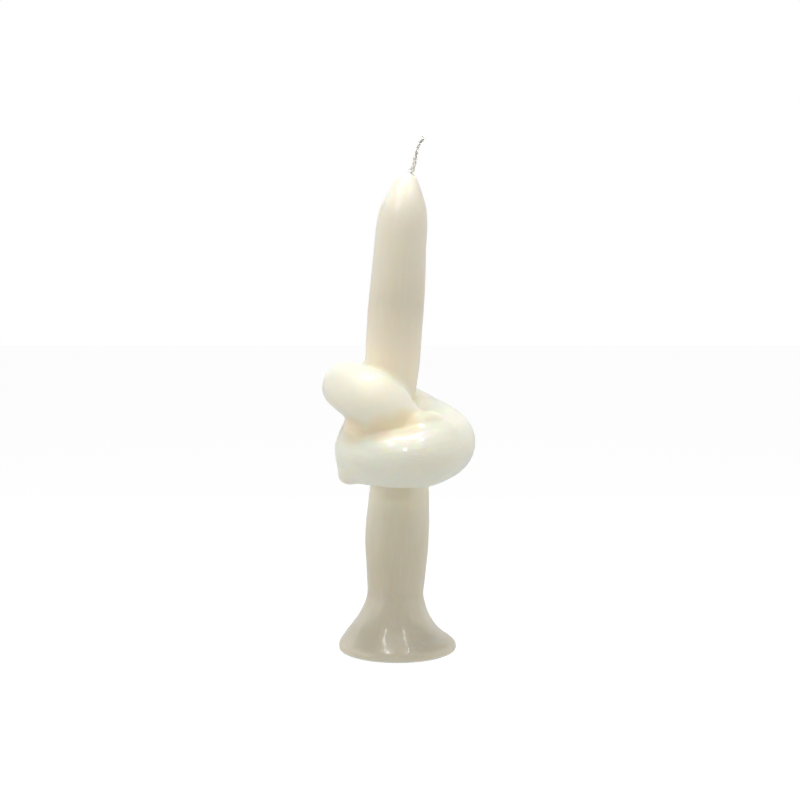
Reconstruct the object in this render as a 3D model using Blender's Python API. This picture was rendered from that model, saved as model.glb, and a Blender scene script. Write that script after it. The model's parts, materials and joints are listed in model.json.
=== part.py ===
"""A hand-dipped taper candle, tied in one overhand knot while warm and pressed out into a flared foot.

The candle stands on Z = 0 with the middle of its foot at the origin. X runs across the widest side of
the knot and Y runs through it, with the last turn of the knot crossing the lower shaft on the -Y side.
Lengths here are in millimetres, and MM turns them into metres as each mesh is made.

Five separate pieces: three plaited strands of cotton wick, the built-up wax core they run through,
and the harder glossy skin of the last dip, which covers the core everywhere but its underside.
"""

import math

import bmesh
import bpy
from mathutils import Vector

MM = 0.001

# Driving dimensions of the wax.
SKIN_THICKNESS = 1.0
SEAT_GAP = 0.3
CORE_TIP_RADIUS = 2.4
SKIN_SIDES = 24
CORE_SIDES = 14
SKIN_STEP = 3.8
CORE_STEP = 5.6

# The wick: three plaited strands, from just above the underside of the foot to a cut end in the air.
STRAND_RADIUS = 0.34
STRAND_SIDES = 5
PLAIT_HALF_WIDTH = 0.86
PLAIT_HALF_DEPTH = 0.5
BURIED_PITCH = 60.0
BARE_PITCH = 7.5
BARE_STEP = 0.5
CHANNEL_RADIUS = 1.5
CHANNEL_SIDES = 8
CHANNEL_STEP = 4.0
WICK_START = 3.0

# Edges shorter than this, in metres, are closed up after a cut.
WELD = 0.00001

# The foot, from its underside up to the neck: height, radius and how far its middle leans along X.
FOOT_OUTLINE = [
    (0.0, 23.9, 0.2),
    (0.5, 24.6, 0.2),
    (1.8, 25.2, 0.2),
    (3.4, 25.0, 0.2),
    (4.8, 23.8, 0.0),
    (6.2, 22.2, -0.6),
    (8.2, 20.2, -1.5),
    (10.8, 18.0, -1.6),
    (13.8, 15.9, -1.5),
    (17.0, 14.2, -1.3),
    (20.2, 12.9, -1.0),
    (23.0, 12.1, -0.9),
]

# The middle line of the taper from the neck to the tip: x, y, z, the radius, and how far the pull of
# the knot flattens the taper towards the knot's own middle (1 is round).
ROUTE = [
    (-0.8, 0.0, 25.0, 11.8, 1.0),
    (-0.4, 0.0, 32.5, 12.5, 1.0),
    (-0.1, 0.0, 42.0, 13.2, 1.0),
    (0.0, 0.0, 52.0, 13.5, 1.0),
    (0.7, 0.0, 62.0, 13.0, 1.0),
    (1.3, 1.0, 73.0, 12.2, 1.0),
    (1.5, 1.5, 84.0, 11.6, 1.0),
    (-0.7, -2.2, 95.4, 11.2, 0.95),
    (-4.0, -12.6, 103.4, 11.2, 0.9),
    (-10.6, -17.2, 108.3, 10.9, 0.85),
    (-17.6, -13.2, 112.0, 10.3, 0.86),
    (-21.8, -4.0, 113.4, 9.7, 0.93),
    (-20.2, 6.0, 110.9, 9.9, 0.9),
    (-12.5, 15.0, 106.6, 10.5, 0.85),
    (-1.0, 20.0, 102.6, 10.9, 0.9),
    (10.5, 16.5, 97.0, 11.2, 0.95),
    (19.5, 6.0, 92.0, 11.7, 1.0),
    (19.9, -7.0, 87.9, 12.3, 1.0),
    (11.8, -17.6, 85.0, 12.4, 0.95),
    (0.6, -21.0, 83.8, 11.4, 0.9),
    (-10.5, -17.0, 83.0, 10.3, 0.85),
    (-16.3, -7.0, 83.3, 10.4, 0.85),
    (-14.7, 3.3, 88.5, 11.1, 0.9),
    (-10.3, 7.0, 98.0, 11.5, 0.95),
    (-4.8, 5.0, 109.0, 11.9, 1.0),
    (-2.2, 1.0, 121.5, 11.7, 1.0),
    (-1.1, 0.0, 135.5, 11.8, 1.0),
    (0.0, 0.0, 151.5, 11.6, 1.0),
    (1.2, 0.0, 168.5, 11.1, 1.0),
    (2.2, 0.0, 181.0, 10.6, 1.0),
    (2.9, 0.0, 188.0, 9.3, 1.0),
    (3.7, 0.0, 194.3, 6.8, 1.0),
    (4.6, 0.0, 198.8, 4.3, 1.0),
    (5.5, 0.0, 201.6, 2.3, 1.0),
]
KNOT_MIDDLE = Vector((0.0, 0.0, 95.0))

# A blunt corner folded out of the skin where the last turn begins: its place, and how far around it
# the wax moves.
FOLD_POINT = Vector((-25.6, -7.0, 71.8))
FOLD_REACH = 12.0

# The bare wick above the tip: x, y, z and how far its strands stand apart (1 is tightly plaited).
BARE_WICK = [
    (6.6, 0.0, 203.2, 1.0),
    (7.4, 0.0, 206.4, 1.0),
    (8.1, 0.0, 209.8, 1.0),
    (8.9, 0.0, 212.4, 1.0),
    (10.1, 0.0, 214.5, 1.3),
    (11.6, 0.0, 216.2, 1.8),
]


def clear_scene():
    for old in list(bpy.data.objects):
        bpy.data.objects.remove(old)


def catmull_rom(a, b, c, d, t):
    """A value between b and c on a smooth curve through a, b, c and d."""
    return 0.5 * (
        2 * b
        + (c - a) * t
        + (2 * a - 5 * b + 4 * c - d) * t**2
        + (3 * b - 3 * c + d - a) * t**3
    )


def stations(points, step, upright_step=None):
    """Rows along the smooth curve through the points, about one step apart: (place, other values)."""
    rows = [[2 * a - b for a, b in zip(points[0], points[1])]]
    rows += [list(p) for p in points]
    rows.append([2 * a - b for a, b in zip(points[-1], points[-2])])
    made = []
    for i in range(1, len(rows) - 2):
        span = Vector(rows[i + 1][:3]) - Vector(rows[i][:3])
        upright = abs(span.z) > 0.97 * span.length
        pieces = max(1, round(span.length / (upright_step if upright and upright_step else step)))
        for k in range(pieces):
            made.append([catmull_rom(*column, k / pieces) for column in zip(*rows[i - 1:i + 3])])
    made.append(rows[-2])
    return [(Vector(m[:3]), m[3:]) for m in made]


def tangents(places):
    last = len(places) - 1
    return [(places[min(i + 1, last)] - places[max(i - 1, 0)]).normalized() for i in range(last + 1)]


def side_vectors(directions):
    """A vector square to each direction, carried along the line without twisting about it."""
    side = Vector((1, 0, 0))
    made = []
    for direction in directions:
        side = (side - direction * side.dot(direction)).normalized()
        made.append(side.copy())
    return made


def folded_out(corner):
    """The corner drawn towards the fold, more the closer it is."""
    away = (FOLD_POINT - corner).length / FOLD_REACH
    return corner.lerp(FOLD_POINT, 0.8 * (1 - away) ** 1.2) if away < 1 else corner


def ring(place, direction, side, radius, sides):
    """The corners of one round section."""
    other = direction.cross(side)
    turns = [math.tau * k / sides for k in range(sides)]
    return [place + (side * math.cos(a) + other * math.sin(a)) * radius for a in turns]


def flattened(corners, place, direction, amount):
    """A ring squeezed towards the middle of the knot, and spread the other way to keep its area."""
    outward = place - KNOT_MIDDLE
    outward = (outward - direction * outward.dot(direction)).normalized()
    made = []
    for corner in corners:
        offset = corner - place
        across = outward * offset.dot(outward)
        made.append(place + across * amount + (offset - across) / math.sqrt(amount))
    return made


def narrowed(corners, radius):
    """A smaller ring in the plane of this one."""
    middle = sum(corners, Vector()) / len(corners)
    return [middle + (corner - middle).normalized() * radius for corner in corners]


def inset(rows, depth):
    """Rows of (along, radius), each moved in by depth, square to the outline."""
    made = []
    last = len(rows) - 1
    for i, (along, radius) in enumerate(rows):
        ahead, behind = rows[min(i + 1, last)], rows[max(i - 1, 0)]
        run, rise = ahead[0] - behind[0], ahead[1] - behind[1]
        length = math.hypot(run, rise)
        made.append((along + depth * rise / length, radius - depth * run / length))
    return made


def foot_rings(depth, sides):
    """The rings of the foot, level, with the first one on the underside."""
    rows = [(z, radius) for z, radius, _ in FOOT_OUTLINE] + [(ROUTE[0][2], ROUTE[0][3])]
    moved = inset(rows, depth)[:-1]
    moved[0] = (0.0, rows[0][1] - depth)
    up, across = Vector((0, 0, 1)), Vector((1, 0, 0))
    return [
        ring(Vector((lean, 0, z)), up, across, radius, sides)
        for (z, radius), (_, _, lean) in zip(moved, FOOT_OUTLINE)
    ]


def taper_rings(depth, sides, step, end_radius):
    """The rings of the taper from the neck to where it has thinned to the end radius."""
    line = stations(ROUTE, step, 2 * step)
    places = [place for place, _ in line]
    directions = tangents(places)
    directions[0] = Vector((0, 0, 1))
    along = [0.0]
    for a, b in zip(places, places[1:]):
        along.append(along[-1] + (b - a).length)
    outline = [(s, values[0]) for s, (_, values) in zip(along, line)]
    rings = []
    for (place, values), direction, side, s, (moved, radius) in zip(
        line, directions, side_vectors(directions), along, inset(outline, depth)
    ):
        if values[0] < end_radius:
            break
        middle = place + direction * (moved - s)
        rings.append(flattened(ring(middle, direction, side, radius, sides), middle, direction, values[1]))
    return rings


def wax_rings(depth, sides, step, end_radius=0.0):
    return foot_rings(depth, sides) + taper_rings(depth, sides, step, end_radius)


def wick_line():
    """The buried and the bare part of the wick's middle line, as stations with a spread."""
    start = [(0.0, 0.0, WICK_START, 1.0), (-0.4, 0.0, 10.0, 1.0), (-0.8, 0.0, 18.0, 1.0)]
    buried = start + [p[:3] + (1.0,) for p in ROUTE]
    return stations(buried, CHANNEL_STEP), stations([buried[-1]] + BARE_WICK, BARE_STEP)


def channel_rings(sides):
    """A round channel for the wick, from below its start, out through the tip."""
    buried, bare = wick_line()
    places = [place for place, _ in buried] + [bare[4][0]]
    directions = tangents(places)
    places[0] = places[0] - Vector((0, 0, SEAT_GAP))
    return [ring(p, d, v, CHANNEL_RADIUS, sides) for p, d, v in zip(places, directions, side_vectors(directions))]


def strand_rings(number):
    """One strand of the plait: it swings from side to side, and crosses the other two in turn."""
    buried, bare = wick_line()
    line = buried + bare[1:]
    places = [place for place, _ in line]
    directions = tangents(places)
    sides = side_vectors(directions)
    turns = 0.0
    middles = []
    for i, (place, values) in enumerate(line):
        if i:
            pitch = BURIED_PITCH if i < len(buried) else BARE_PITCH
            turns += (place - places[i - 1]).length / pitch
        phase = math.tau * (turns + number / 3)
        across = sides[i] * PLAIT_HALF_WIDTH * math.sin(phase)
        through = directions[i].cross(sides[i]) * PLAIT_HALF_DEPTH * math.sin(2 * phase)
        middles.append(place + (across + through) * values[0])
    paths = tangents(middles)
    return [ring(p, d, v, STRAND_RADIUS, STRAND_SIDES) for p, d, v in zip(middles, paths, side_vectors(paths))]


def tube(name, rings):
    """A closed object through the rings, with flat ends."""
    shape = bmesh.new()
    loops = [[shape.verts.new(corner * MM) for corner in corners] for corners in rings]
    count = len(rings[0])
    for low, high in zip(loops, loops[1:]):
        for k in range(count):
            n = (k + 1) % count
            shape.faces.new((low[k], low[n], high[n], high[k]))
    shape.faces.new(list(reversed(loops[0])))
    shape.faces.new(loops[-1])
    mesh = bpy.data.meshes.new(name)
    shape.to_mesh(mesh)
    shape.free()
    made = bpy.data.objects.new(name, mesh)
    bpy.context.scene.collection.objects.link(made)
    return made


def cut(target, tool):
    """Take the tool away from the target. The crossings of the knot are joined into one solid too."""
    step = target.modifiers.new("cut", "BOOLEAN")
    step.operation = "DIFFERENCE"
    step.solver = "EXACT"
    step.use_self = True
    step.object = tool
    view = bpy.context.evaluated_depsgraph_get()
    settled = bpy.data.meshes.new_from_object(target.evaluated_get(view))
    settled.name = target.name
    target.modifiers.clear()
    target.data = settled
    bpy.data.objects.remove(tool)
    tidy(settled)


def tidy(mesh):
    """Close up the hair-thin edges left where surfaces cross."""
    shape = bmesh.new()
    shape.from_mesh(mesh)
    bmesh.ops.remove_doubles(shape, verts=shape.verts, dist=WELD)
    bmesh.ops.dissolve_degenerate(shape, edges=shape.edges, dist=WELD)
    shape.to_mesh(mesh)
    shape.free()


def finish(made, colour, roughness, smooth_angle):
    """Give a piece its own material and smooth shading that keeps its real edges."""
    material = bpy.data.materials.new(made.name + "_material")
    material.use_nodes = True
    shader = material.node_tree.nodes["Principled BSDF"]
    shader.inputs["Base Color"].default_value = (*colour, 1.0)
    shader.inputs["Roughness"].default_value = roughness
    made.data.materials.clear()
    made.data.materials.append(material)
    made.data.shade_smooth()
    made.data.set_sharp_from_angle(angle=math.radians(smooth_angle))


def make_skin():
    """The last dip: the outside of the candle, less a hollow that is open below and around the wick."""
    outside = wax_rings(0.0, SKIN_SIDES, SKIN_STEP)
    skin = tube("overdip_skin", [[folded_out(corner) for corner in corners] for corners in outside])
    hollow = wax_rings(SKIN_THICKNESS, CORE_SIDES, CORE_STEP, SKIN_THICKNESS + SEAT_GAP + CORE_TIP_RADIUS)
    below = [corner - Vector((0, 0, 2)) for corner in hollow[0]]
    above = [narrowed(hollow[-1], CHANNEL_RADIUS)] + channel_rings(CORE_SIDES)[-2:]
    cut(skin, tube("hollow", [below] + hollow + above))
    return skin


def make_core():
    """The earlier dips, built up around the wick."""
    depth = SKIN_THICKNESS + SEAT_GAP
    core = tube("wax_core", wax_rings(depth, CORE_SIDES, CORE_STEP, depth + CORE_TIP_RADIUS))
    cut(core, tube("channel", channel_rings(CHANNEL_SIDES)))
    return core


def build():
    clear_scene()
    finish(make_skin(), (0.83, 0.79, 0.67), 0.28, 50)
    finish(make_core(), (0.80, 0.75, 0.61), 0.55, 50)
    for number in range(3):
        strand = tube(f"wick_strand_{number + 1}", strand_rings(number))
        finish(strand, (0.78, 0.76, 0.70), 0.85, 60)


build()
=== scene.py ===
# %% [markdown]
# # A knotted taper candle
#
# This lesson builds the look of a hand-dipped taper candle that was tied in one overhand knot while it
# was warm, and pressed out at its lower end into a flared foot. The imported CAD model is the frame: it
# fixes where everything is and how big it is, and the pieces made here take the place of its plain
# solids. Lengths are in millimetres until they reach a mesh, because a candle is easier to think about
# that way, and MM turns them into metres.

# %% Load the frame
import json
import math
import random

import bpy
import numpy as np
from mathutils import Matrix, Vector, bvhtree, kdtree, noise

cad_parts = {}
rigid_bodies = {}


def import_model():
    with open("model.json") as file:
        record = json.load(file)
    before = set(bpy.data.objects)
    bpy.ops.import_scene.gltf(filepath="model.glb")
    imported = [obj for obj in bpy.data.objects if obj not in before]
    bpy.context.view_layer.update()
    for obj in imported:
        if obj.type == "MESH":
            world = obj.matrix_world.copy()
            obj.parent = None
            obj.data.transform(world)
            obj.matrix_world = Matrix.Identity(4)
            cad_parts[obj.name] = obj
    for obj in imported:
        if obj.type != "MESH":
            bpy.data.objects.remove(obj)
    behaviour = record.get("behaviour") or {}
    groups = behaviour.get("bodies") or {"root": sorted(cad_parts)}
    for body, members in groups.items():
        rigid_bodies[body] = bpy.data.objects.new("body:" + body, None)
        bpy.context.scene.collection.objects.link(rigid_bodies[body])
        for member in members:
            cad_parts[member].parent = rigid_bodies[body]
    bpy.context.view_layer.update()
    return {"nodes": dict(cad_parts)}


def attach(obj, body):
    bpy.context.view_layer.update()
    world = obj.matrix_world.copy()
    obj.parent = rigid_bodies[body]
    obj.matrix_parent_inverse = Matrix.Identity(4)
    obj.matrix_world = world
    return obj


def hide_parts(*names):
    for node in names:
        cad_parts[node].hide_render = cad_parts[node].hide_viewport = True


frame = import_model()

MM = 0.001
print("CAD nodes:", sorted(frame["nodes"]))

# %% [markdown]
# ## The camera
#
# The candle is seen from the front, a little above the knot, and from about 65 cm away. Such a short
# distance matters: the flared foot is seen from well above, and the tip almost level.

# %% Camera
CAMERA_PLACE = Vector((1.26, -650.0, 157.7)) * MM
CAMERA_AIM = Vector((1.26, 0.0, 106.7)) * MM
LENS_MM = 69.84
SENSOR_MM = 36.0


def aim(thing, target):
    """Turn a camera or a lamp at its place to look at the target."""
    thing.rotation_euler = (target - thing.location).to_track_quat("-Z", "Y").to_euler()


camera = bpy.data.objects.new("camera", bpy.data.cameras.new("camera"))
camera.data.lens = LENS_MM
camera.data.sensor_width = SENSOR_MM
camera.location = CAMERA_PLACE
aim(camera, CAMERA_AIM)
bpy.context.scene.collection.objects.link(camera)
bpy.context.scene.camera = camera
looking_down = math.asin((CAMERA_PLACE - CAMERA_AIM).normalized().z)
print("camera looks down by", round(math.degrees(looking_down), 1), "degrees")

# %% [markdown]
# ## The candle's own measures
#
# A dipped taper is a stack of round sections along one line, so a list of places with a radius says all
# of it. Here the foot is a turned outline, and the rest is a route: up the lower shaft, round the knot
# and up to the tip. These are the same numbers that the CAD solids were made from, so what is built on
# them fits the frame with no adjusting.

# %% Measures
# The foot, from its underside to the neck: height, radius and how far its middle leans along X.
FOOT_OUTLINE = [
    (0.0, 23.9, 0.2),
    (0.5, 24.6, 0.2),
    (1.8, 25.2, 0.2),
    (3.4, 25.0, 0.2),
    (4.8, 23.8, 0.0),
    (6.2, 22.2, -0.6),
    (8.2, 20.2, -1.5),
    (10.8, 18.0, -1.6),
    (13.8, 15.9, -1.5),
    (17.0, 14.2, -1.3),
    (20.2, 12.9, -1.0),
    (23.0, 12.1, -0.9),
]

# From the neck to the tip: x, y, z, radius, and how far the knot's pull flattens the taper (1 is round).
ROUTE = [
    (-0.8, 0.0, 25.0, 11.8, 1.0),
    (-0.4, 0.0, 32.5, 12.5, 1.0),
    (-0.1, 0.0, 42.0, 13.2, 1.0),
    (0.0, 0.0, 52.0, 13.5, 1.0),
    (0.7, 0.0, 62.0, 13.0, 1.0),
    (1.3, 1.0, 73.0, 12.2, 1.0),
    (1.5, 1.5, 84.0, 11.6, 1.0),
    (-0.7, -2.2, 95.4, 11.2, 0.95),
    (-4.0, -12.6, 103.4, 11.2, 0.9),
    (-10.6, -17.2, 108.3, 10.9, 0.85),
    (-17.6, -13.2, 112.0, 10.3, 0.86),
    (-21.8, -4.0, 113.4, 9.7, 0.93),
    (-20.2, 6.0, 110.9, 9.9, 0.9),
    (-12.5, 15.0, 106.6, 10.5, 0.85),
    (-1.0, 20.0, 102.6, 10.9, 0.9),
    (10.5, 16.5, 97.0, 11.2, 0.95),
    (19.5, 6.0, 92.0, 11.7, 1.0),
    (19.9, -7.0, 87.9, 12.3, 1.0),
    (11.8, -17.6, 85.0, 12.4, 0.95),
    (0.6, -21.0, 83.8, 11.4, 0.9),
    (-10.5, -17.0, 83.0, 10.3, 0.85),
    (-16.3, -7.0, 83.3, 10.4, 0.85),
    (-14.7, 3.3, 88.5, 11.1, 0.9),
    (-10.3, 7.0, 98.0, 11.5, 0.95),
    (-4.8, 5.0, 109.0, 11.9, 1.0),
    (-2.2, 1.0, 121.5, 11.7, 1.0),
    (-1.1, 0.0, 135.5, 11.8, 1.0),
    (0.0, 0.0, 151.5, 11.6, 1.0),
    (1.2, 0.0, 168.5, 11.1, 1.0),
    (2.2, 0.0, 181.0, 10.6, 1.0),
    (2.9, 0.0, 188.0, 9.3, 1.0),
    (3.7, 0.0, 194.3, 6.8, 1.0),
    (4.6, 0.0, 198.8, 4.3, 1.0),
    (5.5, 0.0, 201.6, 2.3, 1.0),
]
KNOT_MIDDLE = Vector((0.0, 0.0, 95.0))
NECK_HEIGHT = ROUTE[0][2]
# The last dip, and the small gap that stands for the seam between it and the dips below.
SKIN_THICKNESS = 1.0
SEAT_GAP = 0.3
UP, ACROSS = Vector((0, 0, 1)), Vector((1, 0, 0))

print("route points:", len(ROUTE), "foot points:", len(FOOT_OUTLINE))

# %% [markdown]
# ## Lines and sections
#
# The route's points are far apart, so a Catmull-Rom curve fills in between them: it passes through every
# point and needs no handles. At each station along it stands a round section. A vector that is carried
# along without twisting says where each section starts, which keeps the sides of the tube straight.

# %% Curve helpers


def catmull_rom(a, b, c, d, t):
    """A value between b and c on a smooth curve through a, b, c and d."""
    return 0.5 * (
        2 * b + (c - a) * t + (2 * a - 5 * b + 4 * c - d) * t**2 + (3 * b - 3 * c + d - a) * t**3
    )


def stations(points, step):
    """Rows along the smooth curve through the points, about one step apart: (place, other values)."""
    rows = [[2 * a - b for a, b in zip(points[0], points[1])]]
    rows += [list(p) for p in points]
    rows.append([2 * a - b for a, b in zip(points[-1], points[-2])])
    made = []
    for i in range(1, len(rows) - 2):
        span = Vector(rows[i + 1][:3]) - Vector(rows[i][:3])
        pieces = max(1, round(span.length / step))
        for k in range(pieces):
            made.append([catmull_rom(*column, k / pieces) for column in zip(*rows[i - 1:i + 3])])
    made.append(rows[-2])
    return [(Vector(m[:3]), m[3:]) for m in made]


def tangents(places):
    """The direction of the line at each place."""
    last = len(places) - 1
    return [(places[min(i + 1, last)] - places[max(i - 1, 0)]).normalized() for i in range(last + 1)]


def side_vectors(directions):
    """A vector square to each direction, carried along the line without twisting about it."""
    side = ACROSS
    made = []
    for direction in directions:
        side = (side - direction * side.dot(direction)).normalized()
        made.append(side.copy())
    return made


def distances(places):
    """How far along the line each place is."""
    along = [0.0]
    for a, b in zip(places, places[1:]):
        along.append(along[-1] + (b - a).length)
    return along


taper_places = [place for place, _ in stations(ROUTE, 1.0)]
print("the taper is", round(distances(taper_places)[-1]), "mm long from neck to tip")

# %% [markdown]
# ## Sweeping a body
#
# A body is the skin over its sections, closed at both ends. Its outline can also be moved in by a depth,
# square to itself, which gives the surface that an earlier dip had. The pull of the knot flattens the
# sections towards the knot's own middle, and spreads them the other way, because wax keeps its volume.

# %% Sweep helpers


def inset(rows, depth):
    """Rows of (along, radius), each moved in by depth, square to the outline."""
    made = []
    last = len(rows) - 1
    for i, (along, radius) in enumerate(rows):
        ahead, behind = rows[min(i + 1, last)], rows[max(i - 1, 0)]
        run, rise = ahead[0] - behind[0], ahead[1] - behind[1]
        length = math.hypot(run, rise)
        made.append((along + depth * rise / length, radius - depth * run / length))
    return made


def ring(place, direction, side, radius, sides, flat=1.0):
    """The corners of one section."""
    other = direction.cross(side)
    outward = place - KNOT_MIDDLE
    outward = (outward - direction * outward.dot(direction)).normalized()
    made = []
    for k in range(sides):
        a = math.tau * k / sides
        offset = (side * math.cos(a) + other * math.sin(a)) * radius
        across = outward * offset.dot(outward)
        made.append(place + across * flat + (offset - across) / math.sqrt(flat))
    return made


def foot_rings(depth, sides, step):
    """The level rings of the foot, with the first one on the underside."""
    rows = stations([(z, 0.0, lean, radius) for z, radius, lean in FOOT_OUTLINE], step)
    outline = [(place.x, values[0]) for place, values in rows]
    moved = inset(outline + [(NECK_HEIGHT, ROUTE[0][3])], depth)[:-1]
    moved[0] = (0.0, outline[0][1] - depth)
    return [
        ring(Vector((place.z, 0, z)), UP, ACROSS, radius, sides)
        for (z, radius), (place, _) in zip(moved, rows)
    ]


def taper_frames(step):
    """The taper from neck to tip, as rows of place, direction, side, distance, radius and flatness."""
    line = stations(ROUTE, step)
    places = [place for place, _ in line]
    directions = tangents(places)
    directions[0] = UP
    radii, flats = zip(*[values for _, values in line])
    return list(zip(places, directions, side_vectors(directions), distances(places), radii, flats))


def taper_rings(depth, sides, step, end_radius=0.0):
    """The rings of the taper from the neck to where it has thinned to the end radius."""
    frames = taper_frames(step)
    moved = inset([(f[3], f[4]) for f in frames], depth)
    made = []
    for (place, direction, side, along, radius, flat), (s, r) in zip(frames, moved):
        if radius < end_radius:
            break
        made.append(ring(place + direction * (s - along), direction, side, r, sides, flat))
    return made


def new_piece(name, points, faces):
    """A mesh object in metres from places in millimetres."""
    mesh = bpy.data.meshes.new(name)
    mesh.from_pydata([tuple(Vector(p) * MM) for p in points], [], faces)
    made = bpy.data.objects.new(name, mesh)
    bpy.context.scene.collection.objects.link(made)
    return made


def tube_faces(rings, first=0):
    """Quads over rings that start at the given point number, with flat ends."""
    count = len(rings[0])
    faces = [
        (first + i * count + k, first + i * count + (k + 1) % count,
         first + (i + 1) * count + (k + 1) % count, first + (i + 1) * count + k)
        for i in range(len(rings) - 1)
        for k in range(count)
    ]
    top = first + (len(rings) - 1) * count
    faces.append(tuple(range(first + count - 1, first - 1, -1)))
    faces.append(tuple(range(top, top + count)))
    return faces


def tubes(name, many):
    """One piece made of several closed tubes."""
    points, faces = [], []
    for rings in many:
        faces += tube_faces(rings, len(points))
        points += [corner for corners in rings for corner in corners]
    return new_piece(name, points, faces)


def settled(piece):
    """Apply the piece's modifiers to its mesh."""
    view = bpy.context.evaluated_depsgraph_get()
    mesh = bpy.data.meshes.new_from_object(piece.evaluated_get(view))
    piece.modifiers.clear()
    piece.data = mesh
    mesh.name = piece.name


print("sweep helpers are ready")

# %% [markdown]
# ## The wax body
#
# The outside of the candle is swept first, far finer than the CAD solid. Where the taper crosses itself,
# the tubes run into each other, and a voxel remesh turns them into one surface. That is what the last
# dip in molten wax does to a knot: it can't get between two turns that touch, so it wraps both as one.
# Beads stand for wax that hung and set under the knot, or that ran together in the hollows between its
# turns. They are added before the remesh, so that they melt into the body.

# %% Wax body
BODY_SIDES = 72
BODY_STEP = 0.9
FOOT_STEP = 0.6
VOXEL = 0.64
# The lower left corner of the knot, where the warm wax folded: the place that the surface is drawn
# towards, from how far around, how much, and how quickly that fades.
FOLD_POINT = Vector((-25.6, -7.0, 71.8))
FOLD_REACH = 12.0
FOLD_PULL = 0.8
FOLD_FADE = 1.2
# Beads under the knot and between its turns: the middle, and the half-size along X, Y and Z.
RUNS = [
    ((10.8, -22.0, 74.2), (4.2, 2.6, 2.0)),
    ((15.0, -19.5, 74.8), (2.2, 1.8, 1.6)),
    ((-19.6, -8.5, 76.8), (5.4, 7.0, 4.9)),
    ((-18.6, -8.5, 82.0), (6.2, 7.0, 6.0)),
    ((-15.0, -13.5, 95.5), (7.0, 9.0, 6.2)),
    ((8.5, -13.0, 97.5), (6.0, 6.0, 4.6)),
    ((13.5, -10.0, 96.5), (7.0, 7.0, 5.2)),
]


def folded_out(corner):
    """The corner drawn towards the fold, more the closer it is."""
    away = (FOLD_POINT - corner).length / FOLD_REACH
    return corner.lerp(FOLD_POINT, FOLD_PULL * (1 - away) ** FOLD_FADE) if away < 1 else corner


def bead_rings(middle, half, sides=20, rows=13):
    """Level rings of a rounded bead."""
    made = []
    for i in range(rows):
        a = math.pi * (i + 0.5) / rows
        made.append([
            Vector(middle) + Vector((
                half[0] * math.sin(a) * math.cos(math.tau * k / sides),
                half[1] * math.sin(a) * math.sin(math.tau * k / sides),
                -half[2] * math.cos(a),
            ))
            for k in range(sides)
        ])
    return made


def one_skin(piece):
    """Remesh the piece into a single closed surface."""
    step = piece.modifiers.new("one_skin", "REMESH")
    step.mode = "VOXEL"
    step.voxel_size = VOXEL * MM
    settled(piece)


outside = foot_rings(0.0, BODY_SIDES, FOOT_STEP) + taper_rings(0.0, BODY_SIDES, BODY_STEP)
outside = [[folded_out(corner) for corner in corners] for corners in outside]
wax = tubes("overdip_wax", [outside] + [bead_rings(*run) for run in RUNS])
one_skin(wax)
print("wax body:", len(wax.data.vertices), "points")

# %% [markdown]
# ## Points as numbers
#
# A mesh of tens of thousands of points is too slow to change one point at a time. Here the points are
# read into rows of numbers, changed all together, and written back.

# %% Points of a mesh as numbers


def read_points(mesh):
    """The mesh's points in millimetres, one row each."""
    flat = np.empty(len(mesh.vertices) * 3)
    mesh.vertices.foreach_get("co", flat)
    return flat.reshape(-1, 3) / MM


def write_points(mesh, points):
    """Move the mesh's points to rows in millimetres."""
    mesh.vertices.foreach_set("co", (points * MM).ravel())
    mesh.update()


def read_normals(mesh):
    """The mesh's normals at its points."""
    flat = np.empty(len(mesh.vertices) * 3)
    mesh.vertex_normals.foreach_get("vector", flat)
    return flat.reshape(-1, 3)


def distance_in(points, place, reach):
    """How far each point is from a place, measured in reaches."""
    return np.linalg.norm(points - np.array(place), axis=1) / reach


def bump_at(points, place, reach):
    """A round bump over the points: 1 at the place, and nearly 0 beyond its reach."""
    return np.exp(-2.0 * distance_in(points, place, reach) ** 2)


def smooth(mesh, times, share=0.5):
    """Move every point part of the way to the average of its neighbours, several times."""
    flat = np.empty(len(mesh.edges) * 2, dtype=np.int64)
    mesh.edges.foreach_get("vertices", flat)
    one, other = flat.reshape(-1, 2).T
    points = read_points(mesh)
    counts = np.bincount(flat, minlength=len(points))[:, None]
    for _ in range(times):
        total = np.stack([
            np.bincount(one, points[other, axis], len(points))
            + np.bincount(other, points[one, axis], len(points))
            for axis in range(3)
        ], axis=1)
        points += share * (total / counts - points)
    write_points(mesh, points)


print("helpers for points are ready")

# %% [markdown]
# ## The film that fills the creases
#
# Molten wax clings in every inside corner and sets there as a soft fillet, while the outer curves stay
# as they are. Plain smoothing would wear both down. Here the whole knot is swelled outward, remeshed so
# that what now overlaps is one skin, and drawn back in by the same amount. An outer curve comes back to
# where it was, and an inner corner comes back rounded to the radius it was swelled by. Wherever the film
# is known to be thick, the swelling is larger.

# %% Fill the creases
FILM_RADIUS = 1.2
# Where the film is thicker: the place, how far that reaches, and the radius it adds there.
FILM_POOLS = [
    ((11.0, -13.0, 101.0), 15.0, 5.2),
    ((-13.0, -19.0, 94.0), 13.0, 3.0),
]
# The film fades out over a short height at both ends of the knot.
KNOT_LOW, KNOT_HIGH = 66.0, 130.0
KNOT_FADE = 8.0
ROUGH_PASSES, FINE_PASSES = 5, 8


def film_radius(points):
    """How far the surface swells at each point."""
    radius = np.full(len(points), FILM_RADIUS)
    for place, reach, more in FILM_POOLS:
        radius += more * bump_at(points, place, reach)
    inside = np.minimum(points[:, 2] - KNOT_LOW, KNOT_HIGH - points[:, 2])
    return radius * np.clip(inside / KNOT_FADE, 0, 1)


def swell(mesh, sign):
    """Move the surface out by the film's radius, or back in when the sign is -1."""
    points = read_points(mesh)
    write_points(mesh, points + sign * film_radius(points)[:, None] * read_normals(mesh))


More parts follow.
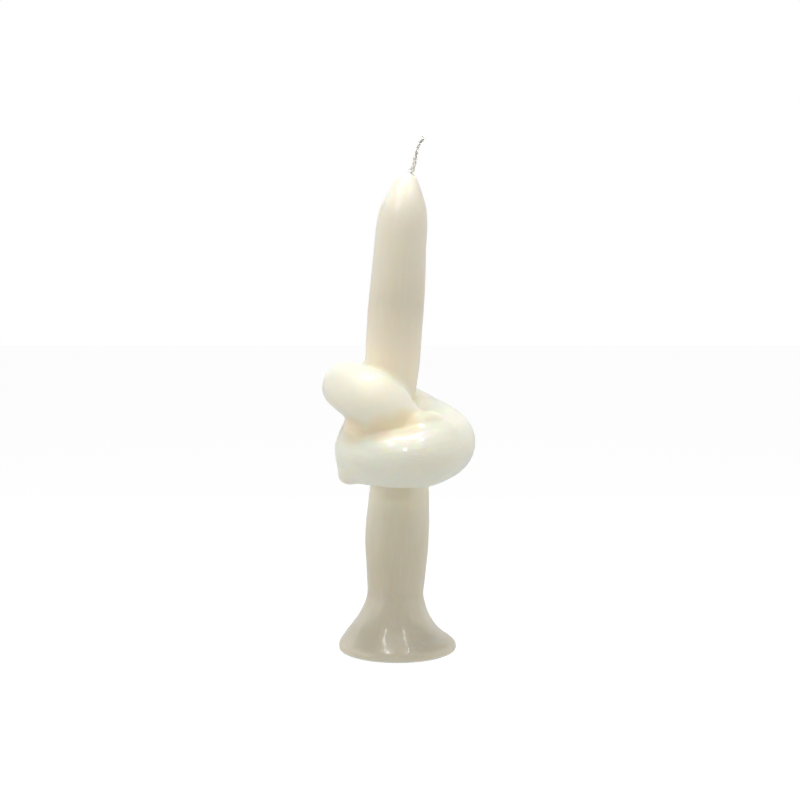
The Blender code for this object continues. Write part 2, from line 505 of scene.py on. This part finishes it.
smooth(wax.data, ROUGH_PASSES)
bare_knot = bvhtree.BVHTree.FromPolygons(
    [v.co / MM for v in wax.data.vertices], [p.vertices for p in wax.data.polygons]
)
swell(wax.data, 1)
one_skin(wax)
smooth(wax.data, ROUGH_PASSES)
swell(wax.data, -1)
one_skin(wax)
smooth(wax.data, FINE_PASSES)
print("wax body with its film:", len(wax.data.vertices), "points")

# %% [markdown]
# ## The underside
#
# The foot was pressed on a flat plate, so its underside is cut off dead level, and the earlier dips show
# there inside the ring of the last one. A pocket in the skin leaves room for them.

# %% Level the underside and open it
POCKET_DEPTH = 1.5
POCKET_SIDES = 96
PLATE_RADIUS = 60.0
PLATE_DEPTH = 5.0
PLATE_SIDES = 8


def cut_away(piece, name, rings):
    """Take a closed tube of space out of the piece."""
    tool = tubes(name, [rings])
    step = piece.modifiers.new(name, "BOOLEAN")
    step.operation = "DIFFERENCE"
    step.solver = "EXACT"
    step.object = tool
    settled(piece)
    bpy.data.objects.remove(tool)


below = [ring(Vector((0, 0, z)), UP, ACROSS, PLATE_RADIUS, PLATE_SIDES) for z in (-PLATE_DEPTH, 0.0)]
cut_away(wax, "below_the_plate", below)
_, rim_radius, rim_lean = FOOT_OUTLINE[0]
pocket = [
    ring(Vector((rim_lean, 0, z)), UP, ACROSS, rim_radius - SKIN_THICKNESS, POCKET_SIDES)
    for z in (-1.0, POCKET_DEPTH)
]
cut_away(wax, "pocket", pocket)
print("skin:", len(wax.data.polygons), "faces")

# %% [markdown]
# ## The candle, straightened out
#
# Streaks in dipped wax run along the taper, because that is the way it drained. To draw them on a taper
# that turns back on itself, each point is told where it would be if the candle were straight: two
# measures across it and one along it. These go on the mesh as an attribute, and the noise in the material
# reads them. A second attribute holds how thick the film is.

# %% Straightened places
FRAME_STEP = 1.0
FINDER_SIDES = 24

# Corners of rings along the taper, each with its ring's number, to look up which ring is nearest.
frames = taper_frames(FRAME_STEP)
finder = kdtree.KDTree(len(frames) * FINDER_SIDES)
for i, (place, direction, side, _, radius, flat) in enumerate(frames):
    for corner in ring(place, direction, side, radius, FINDER_SIDES, flat):
        finder.insert(corner, i)
finder.balance()


def straightened(point):
    """Where a point of the surface would be if the candle were straight."""
    if point.z < NECK_HEIGHT:
        return point.x, point.y, point.z - NECK_HEIGHT
    place, direction, side, along, _, _ = frames[finder.find(point)[1]]
    offset = point - place
    return offset.dot(side), offset.dot(direction.cross(side)), along + offset.dot(direction)


def give_places(piece):
    """Write the straightened places to the mesh, and give them back as rows."""
    flat = [v for point in read_points(piece.data) for v in straightened(Vector(point))]
    piece.data.attributes.new("taper_place", "FLOAT_VECTOR", "POINT").data.foreach_set("vector", flat)
    return np.array(flat).reshape(-1, 3)


def give_values(piece, name, values):
    """Write one number for each point to the mesh."""
    piece.data.attributes.new(name, "FLOAT", "POINT").data.foreach_set("value", values)


straight = give_places(wax)
film = [
    bare_knot.find_nearest(Vector(point))[3] if point[2] > KNOT_LOW else 0.0
    for point in read_points(wax.data)
]
give_values(wax, "film", film)
print("places along the taper:", round(straight[:, 2].min()), "to", round(straight[:, 2].max()), "mm")
print("deepest film:", round(max(film), 2), "mm")

# %% [markdown]
# ## Hand marks
#
# Nobody ties a warm candle without leaving marks. Slow hollows of a tenth of a millimetre or two, long
# ripples that drained along the taper, and a dimple where the wick comes through make the highlights
# wander as they do on real wax. They are moves of the mesh and not only of the shading, so they are
# still there when the model is used elsewhere.

# %% Hand marks
HOLLOW_DEPTH = 0.28
RIPPLE_DEPTH = 0.07
# How fine the marks are, in waves of noise for each millimetre.
LARGE_HOLLOWS, SMALL_HOLLOWS = 0.055, 0.13
RIPPLES_ACROSS, RIPPLES_ALONG = 0.45, 0.11
# Up to the first height nothing moves, so that the underside stays level. All marks are full at the second.
LEVEL_HEIGHT, FREE_HEIGHT = 1.5, 4.5
# Dents at the tip, as place, reach and depth: where the wick comes through, and on the other side.
DENTS = [
    ((7.1, -1.2, 201.4), 1.9, 0.9),
    ((2.0, 0.0, 202.0), 2.6, 0.9),
]

points = read_points(wax.data)
normals = read_normals(wax.data)
lift = np.empty(len(points))
for i, (x, y, s) in enumerate(straight):
    large = noise.noise(Vector((x, y, s)) * LARGE_HOLLOWS)
    small = noise.noise(Vector((x, y, s)) * SMALL_HOLLOWS)
    ripple = noise.noise(Vector((x * RIPPLES_ACROSS, y * RIPPLES_ACROSS, s * RIPPLES_ALONG)))
    lift[i] = HOLLOW_DEPTH * (large + 0.5 * small) + RIPPLE_DEPTH * ripple
for place, reach, depth in DENTS:
    lift -= depth * bump_at(points, place, reach)
free = np.clip((points[:, 2] - LEVEL_HEIGHT) / (FREE_HEIGHT - LEVEL_HEIGHT), 0, 1)
points += normals * (lift * free)[:, None]
write_points(wax.data, points)
print("hand marks:", round(float(lift.min()), 2), "to", round(float(lift.max()), 2), "mm")

# %% [markdown]
# ## The core
#
# Under the last dip are all the earlier ones, fused round the wick. Only the underside shows, but the
# core is made whole, from foot to tip, so that the pieces still make sense apart.

# %% Core
CORE_DEPTH = SKIN_THICKNESS + SEAT_GAP
CORE_TIP_RADIUS = 2.4
CORE_SIDES = 96
CORE_FOOT_STEP, CORE_STEP = 1.0, 2.5
core_foot = foot_rings(CORE_DEPTH, CORE_SIDES, CORE_FOOT_STEP)
core_taper = taper_rings(CORE_DEPTH, CORE_SIDES, CORE_STEP, CORE_DEPTH + CORE_TIP_RADIUS)
core = tubes("wax_core_dips", [core_foot + core_taper])
give_places(core)
print("core:", len(core.data.polygons), "faces")

# %% [markdown]
# ## The wick
#
# A taper's wick is a flat plait of three cotton strands, and each strand is a bundle of fine yarns that
# are twisted together. In the wax the plait is stretched and hidden, and a plain tube for each strand is
# enough. Above the tip every yarn is drawn: it winds round its strand, the strand swings from side to
# side past the other two, and at the cut end everything spreads because nothing holds it any more.

# %% Wick line
# The wick starts a little above the underside, and bends over to the middle of the neck.
WICK_ROOT = [(0.0, 0.0, 3.0), (-0.4, 0.0, 10.0), (-0.8, 0.0, 18.0)]
STRAND_RADIUS = 0.34
PLAIT_HALF_WIDTH = 0.86
PLAIT_HALF_DEPTH = 0.5
BURIED_PITCH = 60.0
BARE_PITCH = 7.5
BURIED_STEP = 4.0
BARE_STEP = 0.22
# The bare wick above the tip: x, y, z, how far its strands stand apart, and the plait's own turn.
BARE_WICK = [
    (6.6, 0.0, 203.2, 0.9, 0.1),
    (7.4, 0.0, 206.4, 0.8, 0.3),
    (8.1, 0.0, 209.8, 0.7, 0.8),
    (8.9, 0.0, 212.4, 0.55, 1.2),
    (10.1, 0.0, 214.5, 0.75, 0.9),
    (11.6, 0.0, 216.2, 1.4, 0.3),
]


def wick_stations():
    """The whole wick, foot to cut end: (place, spread, turn, turns of the plait so far)."""
    buried = [place + (1.0, 0.0) for place in WICK_ROOT + [row[:3] for row in ROUTE]]
    hidden = stations(buried, BURIED_STEP)
    bare = stations([buried[-1]] + BARE_WICK, BARE_STEP)
    line = hidden + bare[1:]
    made, turns = [], 0.0
    for i, (place, (spread, turn)) in enumerate(line):
        if i:
            pitch = BURIED_PITCH if i < len(hidden) else BARE_PITCH
            turns += (place - line[i - 1][0]).length / pitch
        made.append((place, spread, turn, turns))
    return made, len(hidden)


WICK, HIDDEN_COUNT = wick_stations()
wick_places = [w[0] for w in WICK]
wick_directions = tangents(wick_places)
wick_sides = side_vectors(wick_directions)
bare_length = distances(wick_places[HIDDEN_COUNT - 1:])[-1]
print("wick:", round(distances(wick_places)[-1]), "mm long,", round(bare_length, 1), "mm of it bare")

# %% [markdown]
# Each strand is one piece. Its yarns are thin tubes that wind round the strand's own middle line, and
# they are slightly uneven in place, thickness and length, which is what makes cut cotton look like
# cotton. The random numbers are seeded, so that every run gives the same wick.

# %% Wick strands
YARNS = 7
YARN_RADIUS = 0.17
YARN_ORBIT = 0.2
YARN_PITCH = 2.6
YARN_SIDES = 6
STRAND_SIDES = 8
# How long the frayed end is, and how far its yarns lean out and spread.
FRAY_MM = 2.6
FRAY_LEAN = 0.55
FRAY_SPREAD = 1.2


def strand_line(number):
    """The middle line of one strand of the plait."""
    made = []
    for (place, spread, turn, turns), direction, side in zip(WICK, wick_directions, wick_sides):
        phase = math.tau * (turns + number / 3)
        other = direction.cross(side)
        wide = side * math.cos(turn) + other * math.sin(turn)
        deep = other * math.cos(turn) - side * math.sin(turn)
        swing = wide * PLAIT_HALF_WIDTH * math.sin(phase) + deep * PLAIT_HALF_DEPTH * math.sin(2 * phase)
        made.append(place + swing * spread)
    return made


def swept(places, radii, sides):
    """Round rings along a line."""
    directions = tangents(places)
    return [
        ring(p, d, v, r, sides) for p, d, v, r in zip(places, directions, side_vectors(directions), radii)
    ]


def yarn_rings(line, number, seed):
    """One yarn of a strand: it winds round the strand's line, and springs free near the cut end."""
    draw = random.Random(seed)
    directions = tangents(line)
    sides = side_vectors(directions)
    left = distances(line[::-1])[::-1]
    start = draw.uniform(-0.25, 0.25)
    orbit = YARN_ORBIT * draw.uniform(0.8, 1.1) if number else 0.0
    lean = draw.uniform(0.2, 1.0)
    fray_way = Vector((draw.uniform(-1, 1), draw.uniform(-1, 1), draw.uniform(-0.3, 0.5)))
    short = draw.uniform(0.0, 0.9)
    places, radii = [], []
    for i, (place, direction, side) in enumerate(zip(line, directions, sides)):
        if left[i] < short:
            break
        loose = max(0.0, 1 - left[i] / FRAY_MM) ** 2
        a = math.tau * (number / (YARNS - 1) + (left[0] - left[i]) / YARN_PITCH) + start
        out = side * math.cos(a) + direction.cross(side) * math.sin(a)
        swing = out * orbit * (1 + FRAY_SPREAD * loose)
        wander = fray_way * lean * FRAY_LEAN * loose
        places.append(place + swing + wander)
        radii.append(YARN_RADIUS * (1 + 0.12 * math.sin(3.1 * a + seed)) * (1 - 0.25 * loose))
    return swept(places, radii, YARN_SIDES)


strands = []
for number in range(3):
    line = strand_line(number)
    hidden = line[:HIDDEN_COUNT]
    bare = line[HIDDEN_COUNT - 2:]
    many = [swept(hidden, [STRAND_RADIUS] * len(hidden), STRAND_SIDES)]
    many += [yarn_rings(bare, y, 10 * number + y) for y in range(YARNS)]
    strands.append(tubes(f"wick_cotton_{number + 1}", many))
print("wick strands:", [len(s.data.polygons) for s in strands])

# %% [markdown]
# A cut cotton end is never clean: single fibres stand off it. They are far thinner than a yarn, so a
# three-sided tube is enough for each. A few dozen gently bent ones make one more piece.

# %% Loose fibres
FIBRES = 46
FIBRE_RADIUS = 0.018
FIBRE_START = 0.45
FIBRE_REACH = 0.55
# Two fibres in three grow from this many of the wick's last stations.
CUT_END_STATIONS = 9


def fibre_rings(seed):
    """A fibre that leaves the wick at some height and bends away from it."""
    draw = random.Random(900 + seed)
    last = len(WICK) - 1
    near_end = seed % 3 != 0
    first = last - CUT_END_STATIONS if near_end else HIDDEN_COUNT + 6
    i = draw.randint(first, last)
    place, direction = WICK[i][0], wick_directions[i]
    a = draw.uniform(0, math.tau)
    other = direction.cross(wick_sides[i])
    out = wick_sides[i] * math.cos(a) + other * math.sin(a)
    length = draw.uniform(0.7, 1.9) if near_end else draw.uniform(0.4, 0.9)
    rise = draw.uniform(0.5, 1.2)
    bend = draw.uniform(-0.7, 0.7)
    places = [
        place + out * (FIBRE_START + t * length * FIBRE_REACH) + direction * (t * length * rise)
        + wick_sides[i] * (bend * t * t * length)
        for t in (0.0, 0.2, 0.4, 0.6, 0.8, 1.0)
    ]
    return swept(places, [FIBRE_RADIUS] * len(places), 3)


fibres = tubes("wick_fibres", [fibre_rings(n) for n in range(FIBRES)])
print("fibres:", FIBRES)

# %% [markdown]
# ## Shader helpers
#
# A material is easier to read as a formula than as a drawing of boxes and wires. `Value` wraps one
# output socket, and arithmetic on it adds the Math nodes. Every other node comes from `add_node`, which
# takes the node's type, its settings, and what goes into its sockets. A ramp's stops are a setting too,
# and are given in order.

# %% Shader helpers


class Value:
    """An output socket. Arithmetic on it adds Math nodes to its tree."""

    def __init__(self, tree, socket):
        self.tree, self.socket = tree, socket

    def math(self, operation, *others, first=None):
        settings = {"operation": operation}
        inputs = dict(enumerate(((self,) if first is None else (first, self)) + others))
        return add_node(self.tree, "ShaderNodeMath", settings, inputs)

    def __add__(self, other):
        return self.math("ADD", other)

    def __sub__(self, other):
        return self.math("SUBTRACT", other)

    def __rsub__(self, other):
        return self.math("SUBTRACT", first=other)

    def __mul__(self, other):
        return self.math("MULTIPLY", other)

    def __truediv__(self, other):
        return self.math("DIVIDE", other)

    def __pow__(self, other):
        return self.math("POWER", other)

    __radd__, __rmul__ = __add__, __mul__

    def held(self, low=0.0, high=1.0):
        """The value, kept between two limits."""
        return self.math("MAXIMUM", low).math("MINIMUM", high)

    def between(self, low, high):
        """0 below low, 1 above high, and even in between."""
        return ((self - low) / (high - low)).held()


def add_node(tree, kind, settings=None, inputs=None, output=0):
    """Add a node, set it up, fill its sockets with numbers, colours or links, and give back one output."""
    made = tree.nodes.new(kind)
    for key, setting in (settings or {}).items():
        if key == "stops":
            ramp = made.color_ramp.elements
            for position, _ in setting[2:]:
                ramp.new(position)
            for stop, (position, colour) in zip(ramp, setting):
                stop.position, stop.color = position, colour
        else:
            setattr(made, key, setting)
    for key, given in (inputs or {}).items():
        if isinstance(given, Value):
            tree.links.new(given.socket, made.inputs[key])
        else:
            made.inputs[key].default_value = given
    return Value(tree, made.outputs[output])


def mix_colour(factor, low, high):
    """Between two colours, by a value from 0 to 1."""
    colours = {key: c if isinstance(c, Value) else (*c, 1.0) for key, c in ((6, low), (7, high))}
    return add_node(factor.tree, "ShaderNodeMix", {"data_type": "RGBA"}, {0: factor, **colours}, 2)


def scaled(place, x, y, z):
    """A coordinate, stretched differently along each axis."""
    return add_node(place.tree, "ShaderNodeVectorMath", {"operation": "MULTIPLY"}, {0: place, 1: (x, y, z)})


def soft_noise(place, scale, detail=2.0, rough=0.5):
    """Smooth noise, mostly between 0.3 and 0.7."""
    inputs = {"Vector": place, "Scale": scale, "Detail": detail, "Roughness": rough}
    return add_node(place.tree, "ShaderNodeTexNoise", {"noise_dimensions": "3D"}, inputs)


def attribute(tree, name, output):
    """What the mesh's attribute of that name holds."""
    return add_node(tree, "ShaderNodeAttribute", {"attribute_name": name}, {}, output)


def new_finish(name, **constants):
    """A material with its Principled shader's constant sockets set. Gives the material, tree and shader."""
    material = bpy.data.materials.new(name)
    material.use_nodes = True
    shader = material.node_tree.nodes["Principled BSDF"]
    for key, value in constants.items():
        shader.inputs[key.replace("_", " ")].default_value = value
    return material, material.node_tree, shader


def feed(tree, shader, **values):
    """Link values to the shader's sockets."""
    for key, value in values.items():
        tree.links.new(value.socket, shader.inputs[key.replace("_", " ")])


def bump(height, distance_mm, strength=1.0):
    """A Bump node's normal from a height between 0 and 1."""
    inputs = {"Height": height, "Distance": distance_mm * MM, "Strength": strength}
    return add_node(height.tree, "ShaderNodeBump", {}, inputs)


print("shader helpers are ready")

# %% [markdown]
# ## Ivory over-dip wax
#
# Light goes into wax, wanders a few millimetres and comes out again, a little warmer for red than for
# blue. That is subsurface scattering, and here it is nearly all of the colour. On top is a clear, hard,
# uneven gloss. The colour drifts slowly, and pale streaks run along the taper. The colour along the
# taper is partly the wax's tone and partly painted shade and light. Where the film is thick in a crease
# the wax is painted yellower, partly for the deeper wax and partly as a painted glow of the light that
# goes through it and bounces round there.

# %% Colours and places of the over-dip wax
WAX_SCATTER = (1.0, 0.72, 0.46)
# The wax's colour along the taper, partly its own tone and partly painted shade and light: darker on the
# foot, the lower shaft and the middle of the upper shaft, brighter at the knot and towards the tip.
# Distance from the neck, and the colour there.
WAX_TONE_AND_PAINTED_SHADE_ALONG = [
    (-25, (0.76, 0.705, 0.565)),
    (10, (0.74, 0.685, 0.525)),
    (45, (0.825, 0.79, 0.64)),
    (85, (0.93, 0.88, 0.74)),
    (125, (0.93, 0.885, 0.76)),
    (170, (0.985, 0.935, 0.80)),
    (230, (0.98, 0.93, 0.79)),
    (290, (0.93, 0.845, 0.68)),
    (318, (0.775, 0.72, 0.575)),
    (350, (0.875, 0.82, 0.69)),
    (373, (0.90, 0.85, 0.75)),
]
ALONG_START, ALONG_END = -30.0, 380.0

# Middle and reach of the creases that get a painted warm glow, for light that bounces round and shines
# through the wax there, and of the rubbed, glossy places: the crest of the strand in front, and the foot.
PAINTED_GLOW_PLACES = [
    ((-16.0, -17.0, 96.0), 10.0),
    ((-6.0, -21.0, 96.5), 9.0),
    ((3.0, -21.0, 97.0), 9.0),
]
GLOSSY_PLACES = [
    ((-10.0, -27.0, 88.0), 11.0),
    ((3.0, -28.0, 91.0), 11.0),
    ((17.0, -21.0, 96.0), 10.0),
    ((0.0, -14.0, 5.0), 22.0),
]


def give_nearness(piece, name, places):
    """Store at each point how near it is to the nearest of some places: 1 at the middle, 0 at the reach."""
    points = read_points(piece.data)
    nearest = np.zeros(len(points))
    for middle, reach in places:
        nearest = np.maximum(nearest, np.clip(1 - distance_in(points, middle, reach) ** 2, 0, 1))
    give_values(piece, name, nearest)


# How near each point is to a crease with a painted warm glow, and to a glossy place.
give_nearness(wax, "warm", PAINTED_GLOW_PLACES)
give_nearness(wax, "glossy", GLOSSY_PLACES)
print("warm places:", len(PAINTED_GLOW_PLACES), "glossy places:", len(GLOSSY_PLACES))

# %% [markdown]
# The colour starts from the colour along the taper, which is partly the wax's tone and partly painted shade
# and light. It is then mixed, step by step, with pale streaks, slow drift, bloom, the painted warm glow of
# the creases and a few dark specks. The height under the gloss is made of streaks and grain, and of soft
# ripples where the strand in front was rubbed.

# %% Over-dip wax
wax_finish, tree, shader = new_finish(
    "overdip_wax", Subsurface_Weight=1.0, Subsurface_Radius=WAX_SCATTER, Subsurface_Scale=0.0042,
    IOR=1.44, Specular_IOR_Level=0.5, Coat_Roughness=0.15, Coat_IOR=1.45,
)
place = attribute(tree, "taper_place", "Vector")
along = add_node(tree, "ShaderNodeSeparateXYZ", {}, {0: place}, "Z")
stops = [((s - ALONG_START) / (ALONG_END - ALONG_START), (*c, 1.0)) for s, c in WAX_TONE_AND_PAINTED_SHADE_ALONG]
# Start from the colour along the taper: the wax's tone, with painted shade on the foot and shafts and
# painted light on the knot.
tone_and_painted_shade = add_node(tree, "ShaderNodeValToRGB", {"stops": stops}, {0: along.between(ALONG_START, ALONG_END)})
drift = soft_noise(scaled(place, 1.0, 1.0, 0.7), 0.06, 3.0)
streaks = soft_noise(scaled(place, 0.55, 0.55, 0.05), 1.0, 3.0, 0.6)
bloom = soft_noise(place, 0.35, 4.0, 0.62)
specks = soft_noise(place, 1.9, 2.0)
pooled = attribute(tree, "film", "Fac").between(0.15, 1.6)
warm = attribute(tree, "warm", "Fac").between(0.0, 0.8)
glossy = attribute(tree, "glossy", "Fac").between(0.0, 0.5)
colour = mix_colour(0.15 * streaks.between(0.5, 0.75), tone_and_painted_shade, (0.955, 0.935, 0.87))
colour = mix_colour(0.30 * drift.between(0.45, 0.7), colour, (0.90, 0.83, 0.69))
colour = mix_colour(0.25 * bloom.between(0.58, 0.75), colour, (0.88, 0.80, 0.66))
# Thick film in the creases is painted yellower, partly for the deeper wax and partly as a painted glow of
# light that shines through and bounces there.
colour = mix_colour(0.5 * pooled, colour, (0.96, 0.86, 0.65))
# The creases in front get a painted warm glow, for light bouncing round inside them.
colour = mix_colour(0.85 * warm, colour, (0.90, 0.78, 0.55))
colour = mix_colour(0.35 * specks.between(0.70, 0.76), colour, (0.66, 0.58, 0.46))
gloss = 0.30 + 0.16 * bloom.between(0.35, 0.7) + 0.10 * streaks.between(0.4, 0.7)
height = 0.32 * streaks + 0.36 * soft_noise(place, 0.5, 3.0) + 0.15 * soft_noise(place, 3.2, 2.0)
rippled = glossy * along.between(45, 60)
height = height + 2.2 * rippled * soft_noise(scaled(place, 0.45, 0.45, 0.30), 1.0, 2.0)
coat = 0.25 + 0.15 * drift.between(0.35, 0.65) + 0.6 * glossy
feed(tree, shader, Base_Color=colour, Roughness=gloss, Coat_Weight=coat, Normal=bump(height, 0.10))
wax.data.materials.append(wax_finish)
print("over-dip wax finish:", len(tree.nodes), "nodes")

# %% [markdown]
# ## Built-up core wax
#
# Each dip leaves a thin layer, so a cut or pressed face shows faint rings, like a tree's. A wave of the
# distance from the middle draws them, and noise pushes them out of round.

# %% Core wax
core_finish, tree, shader = new_finish(
    "core_dips", Subsurface_Weight=1.0, Subsurface_Radius=WAX_SCATTER, Subsurface_Scale=0.003, IOR=1.44
)
place = attribute(tree, "taper_place", "Vector")
flat = scaled(place, 1.0, 1.0, 0.0)
radius = add_node(tree, "ShaderNodeVectorMath", {"operation": "LENGTH"}, {0: flat}, "Value")
wobble = soft_noise(place, 0.09, 3.0)
layers = ((radius * 3.4 + 9.0 * wobble).math("SINE") * 0.5 + 0.5) ** 2.0
grain = soft_noise(place, 1.1, 4.0, 0.65)
colour = mix_colour(layers, (0.84, 0.76, 0.60), (0.90, 0.85, 0.74))
colour = mix_colour(grain.between(0.45, 0.75) * 0.5, colour, (0.80, 0.72, 0.56))
relief = bump(0.6 * layers + 0.4 * grain, 0.08)
feed(tree, shader, Base_Color=colour, Roughness=0.46 + 0.2 * grain, Normal=relief)
core.data.materials.append(core_finish)
print("core wax finish:", len(tree.nodes), "nodes")

# %% [markdown]
# ## Bleached cotton
#
# Thin cotton with wax in it lets light through, so the wick is nearly white against the tent. It is
# glossier at its root, where wax has soaked up from the tip, and duller above. Fine noise along the
# yarns stands for the fibres that they are spun from.

# %% Cotton
# Wax has soaked up into the wick as far as the first height, and above the second one it is dry.
SOAKED, DRY = 0.2045, 0.2115

cotton_finish, tree, shader = new_finish("wick_cotton", Transmission_Weight=0.8, IOR=1.08)
place = add_node(tree, "ShaderNodeTexCoord", {}, {}, "Object")
fibre = soft_noise(scaled(place, 9000.0, 9000.0, 1600.0), 1.0, 3.0, 0.6)
blotch = soft_noise(place, 900.0, 2.0)
dry = add_node(tree, "ShaderNodeSeparateXYZ", {}, {0: place}, "Z").between(SOAKED, DRY)
colour = mix_colour(fibre.between(0.35, 0.65), (0.88, 0.87, 0.84), (0.96, 0.955, 0.94))
colour = mix_colour(blotch.between(0.5, 0.7) * 0.5, colour, (0.86, 0.85, 0.81))
colour = mix_colour(1 - dry, colour, (0.96, 0.95, 0.91))
feed(tree, shader, Base_Color=colour, Roughness=0.38 + 0.45 * dry, Normal=bump(fibre, 0.03))
for piece in strands + [fibres]:
    piece.data.materials.append(cotton_finish)
print("cotton finish:", len(tree.nodes), "nodes")

# %% [markdown]
# ## Fit the pieces to the frame
#
# Every piece rides on the one body of the model, and the CAD solids that the pieces stand for are hidden.

# %% Ride and replace
CORE_SHARP, WAX_SHARP = math.radians(50), math.radians(60)

pieces = [wax, core, fibres] + strands
for piece in pieces:
    piece.data.shade_smooth()
    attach(piece, "root")
core.data.set_sharp_from_angle(angle=CORE_SHARP)
wax.data.set_sharp_from_angle(angle=WAX_SHARP)
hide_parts("overdip_skin")
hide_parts("wax_core")
for number, strand in enumerate(strands):
    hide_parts(f"wick_strand_{number + 1}")
print("pieces:", [piece.name for piece in pieces])

# %% [markdown]
# ## Table, tent and lamps
#
# The candle stands on a pale table in a white light tent. The tent's walls and a bounce from the table
# are broad, even panels, which give the wax its bright edges. Two soft lamps close overhead light what
# faces up, a narrow one picks out the knot, and the bright frame of the front one draws the window of
# light on the foot. A panel's strength is given as its brightness, so that it can be compared with the
# white of the table.

# %% Stage
# Each panel: name, place, what it faces, width, height and brightness.
PANELS = [
    ("left_wall", (-450, 0, 150), (0, 0, 150), 900, 300, 1.25),
    ("right_wall", (450, 0, 150), (0, 0, 150), 900, 300, 1.12),
    ("back_wall", (0, 450, 300), (0, 0, 300), 900, 600, 0.9),
    ("front_wall", (0, -450, 250), (0, 0, 250), 900, 500, 0.34),
    ("table_bounce", (0, 0, -0.5), (0, 0, 100), 900, 900, 0.7),
    ("overhead", (0, 0, 420), (0, 0, 0), 120, 120, 11.5),
    ("overhead_front", (0, -140, 400), (0, 0, 100), 230, 220, 0.8),
    ("frame_left", (-122, -140, 399), (-122, 0, 99), 30, 230, 12.0),
    ("frame_right", (122, -140, 399), (122, 0, 99), 26, 200, 8.5),
]
SPOT_PLACE = (0, -420, 330)
SPOT_WATTS = 1.5
SPOT_DEGREES = 13
SPOT_RADIUS = 30
TABLE_HALF = 3000
TABLE_GREY, TABLE_GLOW = 0.04, 0.98


def lamp(name, kind, place, target):
    """A lamp at a place, turned to its target, that the camera doesn't see."""
    made = bpy.data.objects.new(name, bpy.data.lights.new(name, kind))
    made.location = Vector(place) * MM
    aim(made, Vector(target) * MM)
    made.visible_camera = False
    bpy.context.scene.collection.objects.link(made)
    return made.data


for name, place, target, width, height, brightness in PANELS:
    panel = lamp(name, "AREA", place, target)
    panel.shape = "RECTANGLE"
    panel.size, panel.size_y = width * MM, height * MM
    panel.energy = brightness * math.pi * panel.size * panel.size_y
knot_spot = lamp("knot_spot", "SPOT", SPOT_PLACE, KNOT_MIDDLE)
knot_spot.energy = SPOT_WATTS
knot_spot.spot_size = math.radians(SPOT_DEGREES)
knot_spot.spot_blend = 1.0
knot_spot.shadow_soft_size = SPOT_RADIUS * MM

table_corners = [(x * TABLE_HALF, y * TABLE_HALF, 0) for x, y in ((-1, -1), (1, -1), (1, 1), (-1, 1))]
floor = new_piece("floor", table_corners, [(0, 1, 2, 3)])
floor_finish, _, _ = new_finish(
    "pale_table", Roughness=0.9, Emission_Strength=TABLE_GLOW, Emission_Color=(1, 1, 1, 1),
    Base_Color=(TABLE_GREY, TABLE_GREY, TABLE_GREY, 1),
)
floor.data.materials.append(floor_finish)
floor.visible_diffuse = floor.visible_glossy = False

# The world gives the camera its white and shines through the wick. The panels do the rest.
world = bpy.data.worlds.new("light_tent")
world.use_nodes = True
world.node_tree.nodes["Background"].inputs["Color"].default_value = (1, 1, 1, 1)
world.cycles_visibility.diffuse = world.cycles_visibility.glossy = False
world.cycles_visibility.scatter = False
bpy.context.scene.world = world
bpy.context.scene.view_settings.view_transform = "Standard"
print("lamps:", len(PANELS) + 1)
